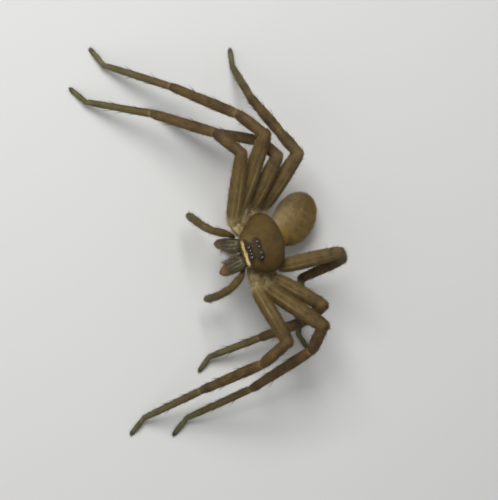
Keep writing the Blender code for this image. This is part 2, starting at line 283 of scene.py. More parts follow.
def makeStudio():
    # Two lamps, an even sky and a wide square floor.
    makeLamp("keyLamp")
    makeLamp("fillLamp")
    world = bpy.data.worlds.new("softSky")
    world.use_nodes = True
    sky = world.node_tree.nodes["Background"]
    sky.inputs["Color"].default_value = studio["skyColour"]
    sky.inputs["Strength"].default_value = studio["skyStrength"]
    bpy.context.scene.world = world
    bpy.context.scene.view_settings.view_transform = "Standard"
    half = studio["floorSize"] / 2 * mm
    sheet = bpy.data.meshes.new("floor")
    sheet.from_pydata([(-half, -half, 0), (half, -half, 0), (half, half, 0), (-half, half, 0)],
                      [], [(0, 1, 2, 3)])
    sheet.materials.append(Shop("palePlaster", Roughness=0.9, Base_Color=studio["floorColour"]).material)
    floor = bpy.data.objects.new("floor", sheet)
    bpy.context.scene.collection.objects.link(floor)


makeCamera()
makeStudio()
print("camera, lamps and floor set")


# Meshes from arrays.

def putMesh(name, points, faces, material, marks, maps):
    # points: one row each. faces: arrays of corner numbers, one array per number of corners.
    # marks: numbers per point. maps: one (u, v) per corner, or per point.
    corners = np.concatenate([f.ravel() for f in faces]).astype(np.int32)
    counts = np.concatenate([np.full(len(f), f.shape[1]) for f in faces])
    starts = np.concatenate([[0], np.cumsum(counts)[:-1]]).astype(np.int32)
    mesh = bpy.data.meshes.new(name)
    mesh.vertices.add(len(points))
    mesh.vertices.foreach_set("co", (points * mm).astype(np.float32).ravel())
    mesh.loops.add(len(corners))
    mesh.loops.foreach_set("vertex_index", corners)
    mesh.polygons.add(len(starts))
    mesh.polygons.foreach_set("loop_start", starts)
    mesh.polygons.foreach_set("use_smooth", np.ones(len(starts), bool))
    mesh.update(calc_edges=True)
    for mark, values in marks.items():
        layer = mesh.attributes.new(mark, "FLOAT", "POINT")
        layer.data.foreach_set("value", np.asarray(values, np.float32))
    for title, places in maps.items():
        layer = mesh.uv_layers.new(name=title)
        spread = places if len(places) == len(corners) else places[corners]
        layer.data.foreach_set("uv", np.asarray(spread, np.float32).ravel())
    mesh.materials.append(material)
    piece = bpy.data.objects.new(name, mesh)
    bpy.context.scene.collection.objects.link(piece)
    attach(piece, "root")
    return piece


def gridFaces(rings, sides):
    # Squares between neighbouring rings and a fan of triangles at each end, to the two pole
    # points that follow the grid's own points.
    j = np.arange(sides)
    k = (j + 1) % sides
    row = np.arange(rings - 1)[:, None] * sides
    squares = np.stack((row + j, row + k, row + sides + k, row + sides + j), -1)
    first = np.full(sides, rings * sides)
    top = (rings - 1) * sides
    fans = np.concatenate((np.stack((first, k, j), -1), np.stack((first + 1, top + j, top + k), -1)))
    return squares.reshape(-1, 4), fans


# What a surface is marked with: how much of each colour shows at a point.
markNames = ("dark", "pale", "grey", "warm", "fawn", "gold")
clear = {"skin": 0.02, "tuft": 0.015, "spine": 0.03}   # how far each kind stays over the floor
ceiling = cadBox[1][2] / mm + 0.4                      # how high hair and spines may reach


def lieOf(grid):
    # Millimetres along and around from the grid's own spacing, with one more column to close it.
    step = np.linalg.norm(np.diff(grid, axis=0), axis=-1).mean(axis=1)
    closed = np.concatenate((grid, grid[:, :1]), axis=1)
    gap = np.linalg.norm(np.diff(closed, axis=1), axis=-1).max(axis=0)
    u, v = (np.concatenate(([0.0], np.cumsum(lengths))) for lengths in (step, gap))
    return np.stack(np.broadcast_arrays(u[:, None], v[None, :]), -1)


def makeShell(grid, marks=None, part="", lie=None):
    # One closed surface: grid is (rings, sides, 3), and a mark is a number or one per point.
    # Normals come from the two directions of the grid and point off its centre line; its faces
    # run the other way round, so they are turned over where the product points outward.
    along = np.gradient(grid, axis=0)
    around = np.roll(grid, -1, axis=1) - np.roll(grid, 1, axis=1)
    normals = unit(np.cross(along, around))
    outward = np.sum(normals * (grid - grid.mean(axis=1, keepdims=True))) > 0
    shell = {"grid": grid, "normals": normals if outward else -normals, "turnOver": outward,
             "along": unit(along), "part": part,
             "lie": lieOf(grid) if lie is None else lie,
             "marks": {name: np.zeros(grid.shape[:2]) for name in markNames}}
    return marked(shell, marks or {})


def marked(shell, marks):
    # Writes marks over a shell's zeros.
    for name, value in marks.items():
        shell["marks"][name] = np.zeros(shell["grid"].shape[:2]) + value
    return shell


def joinShells(name, shells, material):
    # Many closed shells as one mesh, each with its marks and its map of millimetres.
    parts = []
    first = 0
    for shell in shells:
        lie = shell["lie"]
        rings, sides = shell["grid"].shape[:2]
        # A row per point, its place and its marks; a pole takes the mean of its ring's rows.
        rows = np.dstack((shell["grid"], *shell["marks"].values()))
        rows = np.concatenate((rows.reshape(rings * sides, -1), rows[[0, -1]].mean(axis=1)))
        squareMap = np.stack((lie[:-1, :-1], lie[:-1, 1:], lie[1:, 1:], lie[1:, :-1]), 2).reshape(-1, 4, 2)
        middle = lie[0, :-1] - (0.05, 0.0)
        ending = lie[-1, :-1] + (0.05, 0.0)
        fanMap = np.concatenate((np.stack((middle, lie[0, 1:], lie[0, :-1]), 1),
                                 np.stack((ending, lie[-1, :-1], lie[-1, 1:]), 1)))
        turn = -1 if shell["turnOver"] else 1
        squares, fans, squareMap, fanMap = (
            each[:, ::turn] for each in (*gridFaces(rings, sides), squareMap, fanMap))
        parts.append((rows, squares + first, fans + first, squareMap.reshape(-1, 2), fanMap.reshape(-1, 2)))
        first += len(rows)
    rows, squares, fans, *maps = map(np.concatenate, zip(*parts))
    rows[:, 2] = np.maximum(rows[:, 2], clear["skin"])
    return putMesh(name, rows[:, :3], [squares, fans], material, dict(zip(markNames, rows[:, 3:].T)),
                   {"lie": np.concatenate(maps)})


# Limb segments.

def segmentShell(a, b, radius, keys, spacing, sides, part, marker, bow=0.0):
    # A segment from joint a to joint b: rings across the line, their radius a smooth curve through
    # keys, and round ends centred on the joints. bow lifts its middle.
    span = np.linalg.norm(b - a)
    way = (b - a) / span
    side, up = crossAxes(way)
    body = np.linspace(0.0, 1.0, max(6, int(span / spacing)))
    size = through(keys, body) * radius
    cap = np.radians((12, 30, 50, 72))
    s = np.concatenate((-size[0] * np.cos(cap), body * span, span + size[-1] * np.cos(cap[::-1])))
    r = np.concatenate((size[0] * np.sin(cap), size, size[-1] * np.sin(cap[::-1])))
    share = np.clip(s / span, 0.0, 1.0)
    line = a + way * s[:, None] + up * (bow * np.sin(pi * share))[:, None]
    around = radius * 2 * pi * np.arange(sides + 1) / sides
    shell = makeShell(tube(line, side, up, r, sides), part=part,
                      lie=np.stack(np.broadcast_arrays(s[:, None], around), -1))
    share, turn = np.broadcast_arrays(share[:, None], np.degrees(circle(sides)))
    shell.update(share=share, turn=turn, span=span, radius=radius,
                 line=(a, b, size[0], size[len(size) // 2], size[-1]))
    return marked(shell, marker(shell))


def spotsOn(shell, spots, size):
    # Dark rounds on a segment: each spot is (share of the way, angle round).
    total = np.zeros_like(shell["share"])
    for share, angle in spots:
        aside = np.radians(offTurn(shell["turn"], angle)) * shell["radius"]
        far = ((shell["share"] - share) * shell["span"]) ** 2 + aside ** 2
        total = np.maximum(total, np.exp(-far / size ** 2))
    return total


legs = {
    "lengths": {1: (11.8, 5.3, 11.4, 12.0, 3.6), 2: (13.9, 5.5, 12.2, 12.5, 3.7),
                3: (11.4, 4.4, 9.2, 9.2, 3.1), 4: (13.7, 4.1, 8.9, 9.8, 3.3)},
    "femurRadii": {1: 1.22, 2: 1.34, 3: 1.24, 4: 1.26},
    "radii": (0.99, 0.88, 0.60, 0.42),            # patella to tarsus, out to the coat's tips
    "coat": (0.13, 0.13, 0.12, 0.10, 0.08),       # how far the skin lies inside them
    "hipCoat": 0.10,
    "trochanterFrom": 0.74,                       # share of the way to the hip where it starts
    "trochanterShare": 0.92,                      # its radius as a share of the coxa's
    "bows": {"femur": 0.10, "tibia": 0.04, "metatarsus": 0.05},
    "footLevel": 0.28,
    "ankleLevel": 1.30,
    "coxaLevel": -1.5,
    "coxaRadius": 0.90,
    "coxaStarts": {1: (1.9, 2.5), 2: (0.3, 2.75), 3: (-1.3, 2.65), 4: (-2.8, 2.1)},
    "coxaEnds": {"right": {1: (2.90, 5.06), 2: (0.53, 6.12), 3: (-2.89, 5.61), 4: (-5.67, 4.81)},
                 "left": {1: (2.58, 6.22), 2: (0.22, 6.92), 3: (-2.64, 6.45), 4: (-5.01, 5.12)}},
    # Heading and slope of femur, patella and tibia, then headings of metatarsus and tarsus.
    "pose": {
        "right1": ((161, 28), (-146, -23), (-125, -33), -118, -147),
        "right2": ((149.8, 31), (-145.7, -26), (-131, -30), -126, -157),
        "right3": ((145, 44), (-152, -40), (-118, -34), -129, -119),
        "right4": ((139.4, 50), (-155, -6), (-162, -38), -179, 170),
        "left1": ((9, 40), (-62, -23), (-79, -33), -76, -53),
        "left2": ((36, 48), (-32, -43), (-69, -32), -78, -52),
        "left3": ((41, 50), (-58, -41), (-81, -44), -83, -49),
        "left4": ((91, 56), (28, -68), (-76, -47), -14, 21),
    },
}
bodyPlace = {"place": (5.458, 7.286, 9.20), "yaw": 9.4, "pitch": 42.0, "roll": -8.1}
bodyFrame = np.array(
    Matrix.Translation(bodyPlace["place"])
    @ Matrix.Rotation(radians(bodyPlace["yaw"] - 90), 4, "Z")
    @ Matrix.Rotation(radians(-bodyPlace["pitch"]), 4, "Y")
    @ Matrix.Rotation(radians(bodyPlace["roll"]), 4, "X"))


def turned(vectors):
    # From the front body's own axes (ahead, to its left, out through its back) to the frame's.
    return np.asarray(vectors, float) @ bodyFrame[:3, :3].T


def inBody(points):
    # The same turn, and the front body's place added.
    return turned(points) + bodyFrame[:3, 3]


def legJoints(flank, number):
    # The joints from the coxa's start to the foot. Femur, patella and tibia have their own slopes;
    # metatarsus and tarsus slope down to the ankle's and the foot's level.
    sign = 1 if flank == "left" else -1
    *pose, metatarsusWay, tarsusWay = legs["pose"][f"{flank}{number}"]
    lengths = legs["lengths"][number]
    line = [inBody((x, y * sign, legs["coxaLevel"]))
            for x, y in (legs["coxaStarts"][number], legs["coxaEnds"][flank][number])]
    for way, length in zip(pose, lengths):
        line.append(line[-1] + heading(*way) * length)
    reach = lengths[4] - legs["radii"][3]
    for way, length, level in ((metatarsusWay, lengths[3], legs["ankleLevel"]),
                               (tarsusWay, reach, legs["footLevel"])):
        drop = degrees(asin((level - line[-1][2]) / length))
        line.append(line[-1] + heading(way, drop) * length)
    return line


# Radius along each segment, as shares of the way and of its full radius.
segments = {
    "coxa": ((0.0, 0.62), (0.2, 0.92), (0.5, 1.04), (0.85, 0.98), (1.0, 0.80)),
    "trochanter": ((0.0, 0.84), (0.4, 0.98), (0.75, 0.95), (1.0, 0.84)),
    "femur": ((0.0, 0.66), (0.05, 0.84), (0.14, 0.97), (0.34, 1.04), (0.62, 1.0), (0.86, 0.91),
              (0.94, 0.88), (1.0, 0.76)),
    "patella": ((0.0, 0.84), (0.15, 0.95), (0.45, 1.0), (0.75, 0.99), (0.92, 0.93), (1.0, 0.82)),
    "tibia": ((0.0, 0.82), (0.07, 0.97), (0.2, 1.03), (0.5, 1.0), (0.85, 0.88), (0.95, 0.88), (1.0, 0.76)),
    "metatarsus": ((0.0, 0.86), (0.06, 1.02), (0.15, 1.06), (0.55, 1.0), (0.9, 0.86), (1.0, 0.74)),
    "tarsus": ((0.0, 0.78), (0.15, 1.0), (0.4, 1.07), (0.8, 1.0), (1.0, 0.86)),
}

# Leg spines: (share of the way, angle round the segment), 90 being its upper side.
spinePlaces = {
    "femur": ((0.34, 88), (0.56, 94), (0.78, 90), (0.30, 28), (0.54, 24), (0.80, 20),
              (0.30, 152), (0.54, 156), (0.80, 160)),
    "patella": ((0.52, 8), (0.52, 172)),
    "tibia": ((0.18, -48), (0.18, -132), (0.50, -50), (0.50, -130), (0.84, -52), (0.84, -128),
              (0.30, 12), (0.66, 10), (0.30, 168), (0.66, 170), (0.42, 86)),
    "metatarsus": ((0.10, -42), (0.10, -138), (0.42, -44), (0.42, -136), (0.24, 14), (0.24, 166),
                   (0.58, 12), (0.58, 168)),
}
legTones = {
    # From a segment's start to its end: share of grey-green, share of warm brown.
    "coxa": ((0.0, 0.0), (0.1, 0.1)),
    "trochanter": ((0.0, 0.0), (0.1, 0.1)),
    "femur": ((0.02, 0.06), (0.06, 0.36)),
    "patella": ((0.06, 0.12), (0.38, 0.55)),
    "tibia": ((0.10, 0.25), (0.58, 0.80)),
    # The grey-green on metatarsus and tarsus is partly their own grey hair and partly painted greenish
    # reflected light.
    "metatarsus": ((0.30, 0.75), (0.70, 0.0)),
    "tarsus": ((0.75, 0.90), (0.0, 0.0)),
}
legBands = {
    # Dark bands: (share of the way, spread, strength), and those of the fourth legs alone.
    "femur": ((0.93, 0.05, 0.30),),
    "patella": ((0.9, 0.10, 0.25),),
    "tibia": ((0.22, 0.08, 0.30), (0.93, 0.06, 0.35)),
    "tarsus": ((1.0, 0.20, 0.60),),
    "patella4": ((0.75, 0.09, 0.45),),
    "tibia4": ((0.30, 0.09, 0.45), (0.85, 0.09, 0.45)),
    "metatarsus4": ((0.32, 0.09, 0.45), (0.80, 0.09, 0.45)),
}


def legMarks(kind, number, flank):
    # What a leg is marked with: dark rounds under its spines, dark bands, pale joints, mottling,
    # lengthwise lines on the femur, and a slow turn to grey-green towards the foot. That grey-green is
    # partly the foot's own grey and partly painted greenish reflected light. The strong fawn on coxae
    # and trochanters, and the fawn at the femur's root, are painted light where these lie in shade.
    def marker(shell):
        share, turn = shell["share"], shell["turn"]
        spots = spotsOn(shell, spinePlaces.get(kind, ()), 0.34 if kind == "femur" else 0.26)
        mottle = stepUp(blotches(shell["grid"], 1.6, number + (5 if flank == "left" else 0)), 0.50, 0.85)
        pale, fawn = 0.0, 0.0
        dark = 0.75 * spots + 0.38 * mottle
        if kind in ("coxa", "trochanter"):
            patches = blotches(shell["grid"], 0.42, number + 31)
            ends = np.clip(hump(share, 0.0, 0.14) + hump(share, 1.0, 0.16), 0, 1)
            pale = (0.35 + 0.60 * ends) * stepUp(patches, 0.40, 0.60)
            # Painted light: this strong fawn, with little dark, lightens coxae and trochanters that lie in
            # shade between the femora.
            fawn = 0.62 + 0.33 * ends
            dark = 0.38 * stepUp(1 - patches, 0.52, 0.78)
        elif kind == "femur":
            lines = (hump((turn + 4 * np.sin(share * 5)) % 360, 74, 7)
                     + hump((turn + 4 * np.sin(share * 4)) % 360, 108, 6))
            between = hump((turn + 3 * np.sin(share * 6)) % 360, 91, 8)
            pale = 0.40 * hump(share, 0.0, 0.05) + 0.20 * lines * stepUp(1 - share, 0.1, 0.5)
            # The fawn hump at the femur's root is painted light where the root lies in shade.
            fawn = {1: 0.0, 2: 0.02, 3: 0.08, 4: 0.16}[number] + 0.55 * hump(share, 0.0, 0.09)
            dark = 0.4 * spots + 0.24 * mottle + 0.12 * between + 0.17 * share
        elif kind == "patella":
            dark = dark + 0.14
        elif kind == "tibia":
            pale = 0.30 * hump(share, 0.0, 0.03)
        elif kind == "metatarsus":
            pale = 0.65 * hump(share, 0.0, 0.03) * stepUp(np.sin(np.radians(turn)), -0.3, 0.6)
        for middle, spread, strength in legBands.get(kind, ()) + legBands.get(f"{kind}{number}", ()):
            dark = dark + strength * hump(share, middle, spread)
        grey, warm = (start + (end - start) * share for start, end in legTones[kind])
        return {"dark": np.clip(dark, 0, 1), "pale": pale, "fawn": fawn, "grey": grey, "warm": warm}
    return marker


def makeLeg(flank, number):
    # The seven pieces of one leg, each a closed shell that meets the next inside a round joint.
    start, hip, *others = legJoints(flank, number)
    line = (start, start + (hip - start) * legs["trochanterFrom"], hip, *others)
    coxa = legs["coxaRadius"]
    sizes = (coxa - legs["hipCoat"], coxa * legs["trochanterShare"] - legs["hipCoat"],
             *(np.array((legs["femurRadii"][number], *legs["radii"])) - legs["coat"]))
    return [segmentShell(a, b, size, keys, 0.22, 20 if kind in ("tarsus", "metatarsus") else 26,
                         kind, legMarks(kind, number, flank), legs["bows"].get(kind, 0.0))
            for (kind, keys), a, b, size in zip(segments.items(), line, line[1:], sizes)]


allLegs = {f"{flank}{number}": makeLeg(flank, number)
           for flank in ("left", "right") for number in (1, 2, 3, 4)}
print("legs shaped:", sum(len(s) for s in allLegs.values()), "segments")


# Palps.

palps = {
    "coxa": ((2.35, 2.5, -2.75), (4.3, 3.45, -2.0)),
    "lengths": (3.3, 1.9, 2.6, 4.6),
    "tipShare": 0.93,                 # how much of the last length the skin's joints span
    "coat": 0.10,
    "pose": {"right": ((-117, 30), (-135, -31), (-153, -62), (-167, -78)),
             "left": ((-61, 33), (-71, -33), (-76, -62), (-74, -82))},
    # Each segment's radius, its keys along the way, its darkness and its share of grey-green.
    "segments": {
        "base": (0.46, ((0.0, 0.8), (0.5, 1.0), (1.0, 0.95)), 0.2, 0.0),
        "femur": (0.68, ((0.0, 0.72), (0.2, 0.92), (0.6, 1.0), (1.0, 0.86)), 0.1, 0.1),
        "patella": (0.70, ((0.0, 0.84), (0.5, 1.0), (1.0, 0.88)), 0.15, 0.2),
        "tibia": (0.68, ((0.0, 0.82), (0.4, 1.0), (0.8, 0.98), (1.0, 0.86)), 0.2, 0.3),
        "tarsus": (0.62, ((0.0, 0.84), (0.25, 1.06), (0.6, 1.0), (0.88, 0.78), (1.0, 0.56)), 0.5, 0.55),
    },
}


def palpMarks(kind, tone, grey):
    # Mottled darkness, and a dark far half on the last segment.
    def marker(shell):
        dark = tone + 0.3 * stepUp(blotches(shell["grid"], 0.9, 3), 0.5, 0.85)
        if kind == "tarsus":
            dark = dark * 0.5 + 0.4 * stepUp(shell["share"], 0.5, 1.0)
        return {"dark": dark, "grey": grey, "warm": 0.2}
    return marker


def makePalp(flank):
    # A palp: the jaw plate's stalk and four segments, as on a leg.
    mirror = (1, 1 if flank == "left" else -1, 1)
    line = [inBody(np.array(point) * mirror) for point in palps["coxa"]]
    for way, length in zip(palps["pose"][flank], palps["lengths"]):
        line.append(line[-1] + heading(*way) * length)
    line[-1] = line[-2] + (line[-1] - line[-2]) * palps["tipShare"]
    return [segmentShell(a, b, size - palps["coat"], keys, 0.16, 20, kind, palpMarks(kind, *tones))
            for (kind, (size, keys, *tones)), a, b in zip(palps["segments"].items(), line, line[1:])]


allPalps = {flank: makePalp(flank) for flank in ("left", "right")}


# The front body.

carapace = {
    "length": 9.6,
    "width": 9.8,
    "height": 3.2,
    "rim": 0.35,
    "rear": 0.93,                     # how much shorter the rear half is than the front half
    "coat": 0.17,
    "groove": (-2.2, -1.0, 0.10),     # the middle groove: from x, to x, depth
    "clypeus": (0.16, 0.76),          # the pale band's lower and upper edge over the rim
    "clypeusHalf": 2.12,              # half its width
    "eyeMound": 0.16,                 # how high the skin rises under a rear eye
    "eyeDark": 0.75,                  # how far the dark round an eye reaches
}
eyes = {
    # How far behind the face, to the side, height over the rim (None: on the dome), diameter.
    "front_middle": (0.0, 0.27, 1.60, 0.42),
    "front_side": (0.0, 0.84, 1.52, 0.60),
    "back_middle": (0.90, 0.50, None, 0.46),
    "back_side": (1.02, 1.30, None, 0.56),
}


def halfWidth(share):
    # Half the carapace's width, from its rear (-1) to its face (1).
    back = np.clip(1 - (np.abs(share + 0.12) / 0.88) ** 2.6, 0, None) ** 0.5
    thorax = np.where(share < -0.12, back, 1.0)
    head = 1 - 0.47 * (np.clip(share + 0.12, 0, None) / 1.12) ** 1.45
    return carapace["width"] / 2 * np.minimum(thorax, head)


def domeHeight(share):
    # Height over the rim: a short slope behind, a level back and a steep face.
    behind = np.clip(1 - (np.abs(np.minimum(share, -0.15) + 0.15) / 0.85) ** 2, 0, None) ** 0.5
    ahead = 1 - 0.10 * np.clip(share, 0, None) - 0.30 * np.clip((share - 0.80) / 0.20, 0, None) ** 2
    return carapace["height"] * np.minimum(behind, ahead)


def lineDistance(x, y, start, finish):
    # Distance of (x, y) from a straight line between two points, and the share along it.
    sx, sy = start
    dx, dy = finish[0] - sx, finish[1] - sy
    t = np.clip(((x - sx) * dx + (y - sy) * dy) / (dx * dx + dy * dy), 0, 1)
    return np.hypot(x - sx - t * dx, y - sy - t * dy), t


def eyePlaces():
    # Each eye's middle and the way it looks, in the front body's axes, and its radius.
    long = carapace["length"] / 2
    found = []
    for depth, side, level, size in eyes.values():
        if level is None:
            share = 1 - depth / long
            dome = domeHeight(share) * (1 - (side / halfWidth(share)) ** 2) ** 0.45
            place = np.array((share * long, side, dome - 0.10))
            out = unit(np.array((0.35, 0.35 * side / 1.45, 1.0)))
        else:
            place = np.array((long - 0.08, side, level))
            out = unit(np.array((1.0, 0.10 * side, 0.12)))
        for mirror in ((1, 1, 1), (1, -1, 1)):
            found.append((place * mirror, out * mirror, size / 2))
    return found


def carapaceFurrows(x, y):
    # Depth of the grooves at (x, y): the middle groove, the two that part the head, and three
    # shallow ones on each side that run out to the legs.
    y = np.abs(y)
    first, last, depth = carapace["groove"]
    far, t = lineDistance(x, y, (first, 0.0), (last, 0.0))
    total = depth * hump(far, 0, 0.22)
    far, t = lineDistance(x, y, (-0.9, 0.1), (2.3, 3.1))
    total = total + 0.05 * hump(far, 0, 0.34) * stepUp(1 - t, 0.0, 0.5)
    for finish in ((0.7, 4.2), (-1.7, 4.3), (-3.4, 3.2)):
        far, t = lineDistance(x, y, (-1.5, 0.35), finish)
        total = total + 0.03 * hump(far, 0, 0.32) * np.sin(pi * np.clip(t, 0.05, 0.95))
    return total


def carapaceGrid(long):
    # Rings from the rear to the face, each a dome over a thin rim, then rings that shrink on the
    # face to its middle. A low mound holds the lower half of each rear eye.
    back = 1 - np.cos(np.linspace(0.06, pi / 2, 30))
    shares = np.concatenate((-1 + back * 0.5, np.linspace(-0.5, 0.93, 62)[1:],
                             1 - 0.07 * np.cos(np.linspace(0.15, pi / 2, 9))))
    turn = circle(112)
    wide, high = (np.maximum(size(shares) - carapace["coat"], 0.02)[:, None]
                  for size in (halfWidth, domeHeight))
    upper, lower = (np.clip(sign * np.sin(turn), 0, None) for sign in (1, -1))
    x = (shares * np.where(shares < 0, carapace["rear"], 1.0))[:, None] * long + 0 * turn
    y = wide * np.cos(turn)
    z = high * upper ** 0.9 - (carapace["rim"] - 0.12) * lower - carapaceFurrows(x, y) * upper ** 0.4
    body = np.stack((x, y, z), -1)
    heart = np.array((long, 0.0, 0.62))
    shrink = np.array((0.985, 0.955, 0.90, 0.82, 0.72, 0.60, 0.46, 0.30, 0.12))[:, None, None]
    face = heart + (body[-1] - heart) * shrink
    face[..., 0] = long + 0.10 * (1 - shrink[..., 0] ** 2) ** 0.5
    own = np.concatenate((body, face))
    for place, out, radius in eyePlaces():
        if out[2] > 0.5:
            far = np.linalg.norm(own - place, axis=-1)
            own = own + out * (carapace["eyeMound"] * hump(far, 0, 1.7 * radius))[..., None]
    return own


def makeCarapace():
    # Its marks: a pale clypeus with wavy edges, and dark round the eyes, over the face, at the
    # rim, in the furrows and towards the rear.
    long = carapace["length"] / 2 - carapace["coat"]
    own = carapaceGrid(long)
    u, v, w = np.moveaxis(own, -1, 0)
    shares = np.clip(u / long / np.where(u < 0, carapace["rear"], 1.0), -1, 1)
    rimward = np.clip(np.abs(v) / np.maximum(halfWidth(shares), 0.1), 0, 1)
    onFace = stepUp(u, long - 0.25, long - 0.02)
    low, top = carapace["clypeus"]
    wave = top + 0.06 * np.cos(v * 3.7) + 0.03 * np.cos(v * 9.1 + 1) - 0.030 * v ** 2
    foot = low + 0.05 * np.cos(v * 5.3 + 2)
    clypeus = (onFace * stepUp(w, foot - 0.10, foot + 0.08) * stepUp(wave - w, -0.05, 0.12)
               * stepUp(carapace["clypeusHalf"] - np.abs(v), -0.1, 0.3))
    eyeField = 0.85 * onFace * stepUp(w, top - 0.05, top + 0.12)
    for place, out, radius in eyePlaces():
        far = np.linalg.norm(own - place, axis=-1)
        eyeField = np.maximum(eyeField, 1.15 * stepUp(radius + carapace["eyeDark"] - far, 0.0, 0.5))
    dark = (0.27 + 0.30 * stepUp(rimward, 0.84, 1.0) * (1 - onFace)
            + 0.16 * np.clip(carapaceFurrows(u, v) / 0.1, 0, 1) + 0.38 * stepUp(-u, -1.0, 4.4)
            + 0.95 * eyeField + 0.12 * stepUp(blotches(own, 1.5, 2), 0.5, 0.9))
    return makeShell(inBody(own), {
        "dark": np.clip(dark, 0, 1) * (1 - clypeus), "pale": clypeus,
        "warm": 0.22 * (1 - clypeus), "gold": 0.10 * (1 - clypeus)}, "carapace")


def makeCore():
    # The soft flank between the carapace and the coxae: a flat oval under the rim.
    own = ovoid(np.array((-0.35, 0.0, -0.95)), np.diag((4.0, 3.7, 0.95)), 30, 40, 0.08)
    # Its fawn is painted light on a part that lies in shade under the rim.
    return makeShell(inBody(own), {"dark": 0.25, "warm": 0.2, "fawn": 0.3}, "core")


sternum = {"centre": (-0.35, 0.0, -1.5), "length": 5.1, "width": 4.2, "height": 1.5, "coat": 0.10}


def makeSternum():
    # A shield: a rounded square in plan, domed above and below.
    levels = np.linspace(0.0, pi, 22)[:, None]
    turn = circle(48)
    long, wide, high = (sternum[k] / 2 - sternum["coat"] for k in ("length", "width", "height"))
    x, y = (np.abs(wave) ** 0.8 * np.sign(wave) for wave in (np.cos(turn), np.sin(turn)))
    size = np.sin(levels) ** 0.5
    own = np.stack((x * long * size, y * wide * size, 0 * turn + np.cos(levels) * high), -1)
    return makeShell(inBody(own + sternum["centre"]), {"dark": 0.15, "warm": 0.35}, "sternum")


mouth = {
    # Middle in the front body's axes, and half the depth, width and height.
    "leftPlate": ((2.57, 0.72, -1.95), (0.30, 0.52, 0.92)),
    "rightPlate": ((2.57, -0.72, -1.95), (0.30, 0.52, 0.92)),
    "lip": ((2.57, 0.0, -1.67), (0.26, 0.42, 0.62)),
}


def makeMouth():
    # Two jaw plates with a small lip between them, behind the chelicerae: flattened ovals.
    shells = []
    for middle, (deep, wide, tall) in mouth.values():
        own = ovoid(np.array(middle), ((0, 0, -tall), (deep, 0, 0), (0, wide, 0)), 22, 24, 0.1)
        shells.append(makeShell(inBody(own), {"dark": 0.45, "warm": 0.6}, "mouth"))
    return shells


# The hind body.

abdomen = {
    "centre": (3.274, 14.36, 4.15),
    "length": 9.4,
    "width": 6.8,
    "height": 6.2,
    "heading": 136.0,
    "slope": -3.0,
    "bend": 0.3,                      # how far its front end is drawn over to the pedicel
    "droop": 0.25,                    # how far both its ends hang
    "coat": 0.20,
    "folds": 0.035,
    "dimples": 0.07,
    "dimpleRows": ((-0.42, 17), (-0.12, 20), (0.16, 19), (0.40, 16)),  # place along, angle off the top
    "chevrons": (0.15, 0.38, 0.6, 0.78),
    "pedicelRadius": 0.49,
    "pedicel": ((-3.4, 0.0, -1.5), (-4.6, 1.4, -1.45)),
}


def abdomenAxes():
    # The way it lies, its level side and its upper side.
    way = heading(abdomen["heading"], abdomen["slope"])
    return way, *crossAxes(way)


def makeAbdomen():
    # An oval, blunt at both ends, with faint folds across its flanks and two rows of dimples. Its
    # marks: a heart stripe with chevrons behind it, dark dimples, fawn flanks and gold patches. The
    # flanks' fawn is partly painted sheen, and the pale at the front and the lightened gold patches are
    # painted light where the front lies in shade.
    way, side, up = abdomenAxes()
    t = np.linspace(0.10, pi - 0.10, 76)[:, None]
    turn = circle(84)
    along = -np.cos(t)
    dimples = 0.0
    for place, off in abdomen["dimpleRows"]:
        for angle in (90 - off, 90 + off):
            far = ((along - place) * 4.2) ** 2 + ((turn - radians(angle)) * 3.0) ** 2
            dimples = np.maximum(dimples, np.exp(-far / 0.10))
    folds = np.sin(along * 21 + 1.2 * np.sin(turn * 2)) * stepUp(np.abs(np.cos(turn)), 0.35, 0.9) * np.sin(t)
    relief = abdomen["folds"] * folds - abdomen["dimples"] * dimples
    long, wide, tall = (abdomen[k] / 2 - abdomen["coat"] for k in ("length", "width", "height"))
    wide = wide * np.sin(t) ** 0.92 + relief
    tall = np.where(np.sin(turn) > 0, 1.0, 0.92) * tall * np.sin(t) ** 0.92 + relief
    over = wide * np.cos(turn) - abdomen["bend"] * np.clip(along, None, 0) ** 2
    rise = tall * np.sin(turn) - abdomen["droop"] * along ** 2
    grid = (np.array(abdomen["centre"]) + way * (along * long)[..., None]
            + side * over[..., None] + up * rise[..., None])
    across = np.abs(offTurn(np.degrees(turn), 72)) + 0 * along
    heart = hump(across, 0, 15) * stepUp(along, -0.95, -0.7) * stepUp(0.05 - along, 0.0, 0.3)
    chevrons = stepUp(48 - across, 0, 22) * sum(
        hump(along - place, across / 330, 0.035) for place in abdomen["chevrons"])
    mottle = blotches(grid, 1.3, 7)
    fine = blotches(grid, 0.5, 11)
    # The flanks' fawn is partly their own pale colour and partly painted sheen of light on the flank.
    flank = stepUp(across, 20, 95)
    front = stepUp(-along, 0.15, 0.95)
    patch = front * stepUp(fine + mottle, 0.75, 1.15)
    dark = (0.16 * heart + 0.12 * chevrons + 0.25 * dimples + 0.10 * stepUp(mottle, 0.5, 0.85)
            + 0.26 * stepUp(30 - across, -30, 25) + 0.12 * stepUp(fine, 0.6, 0.9))
    # Painted light: pale on the front of the flanks, and less dark and fawn in the gold patches, lighten the
    # shaded front.
    return makeShell(grid, {
        "dark": np.clip(dark * (1 - 0.6 * patch), 0, 1),
        "fawn": np.clip((0.12 + 0.88 * flank) * (1 - 0.70 * patch), 0, 1),
        "gold": 0.28 + 0.60 * patch, "pale": 0.22 * flank * front * (1 - patch),
        "warm": 0.25 * stepUp(mottle, 0.3, 0.8) * (1 - front)}, "abdomen")


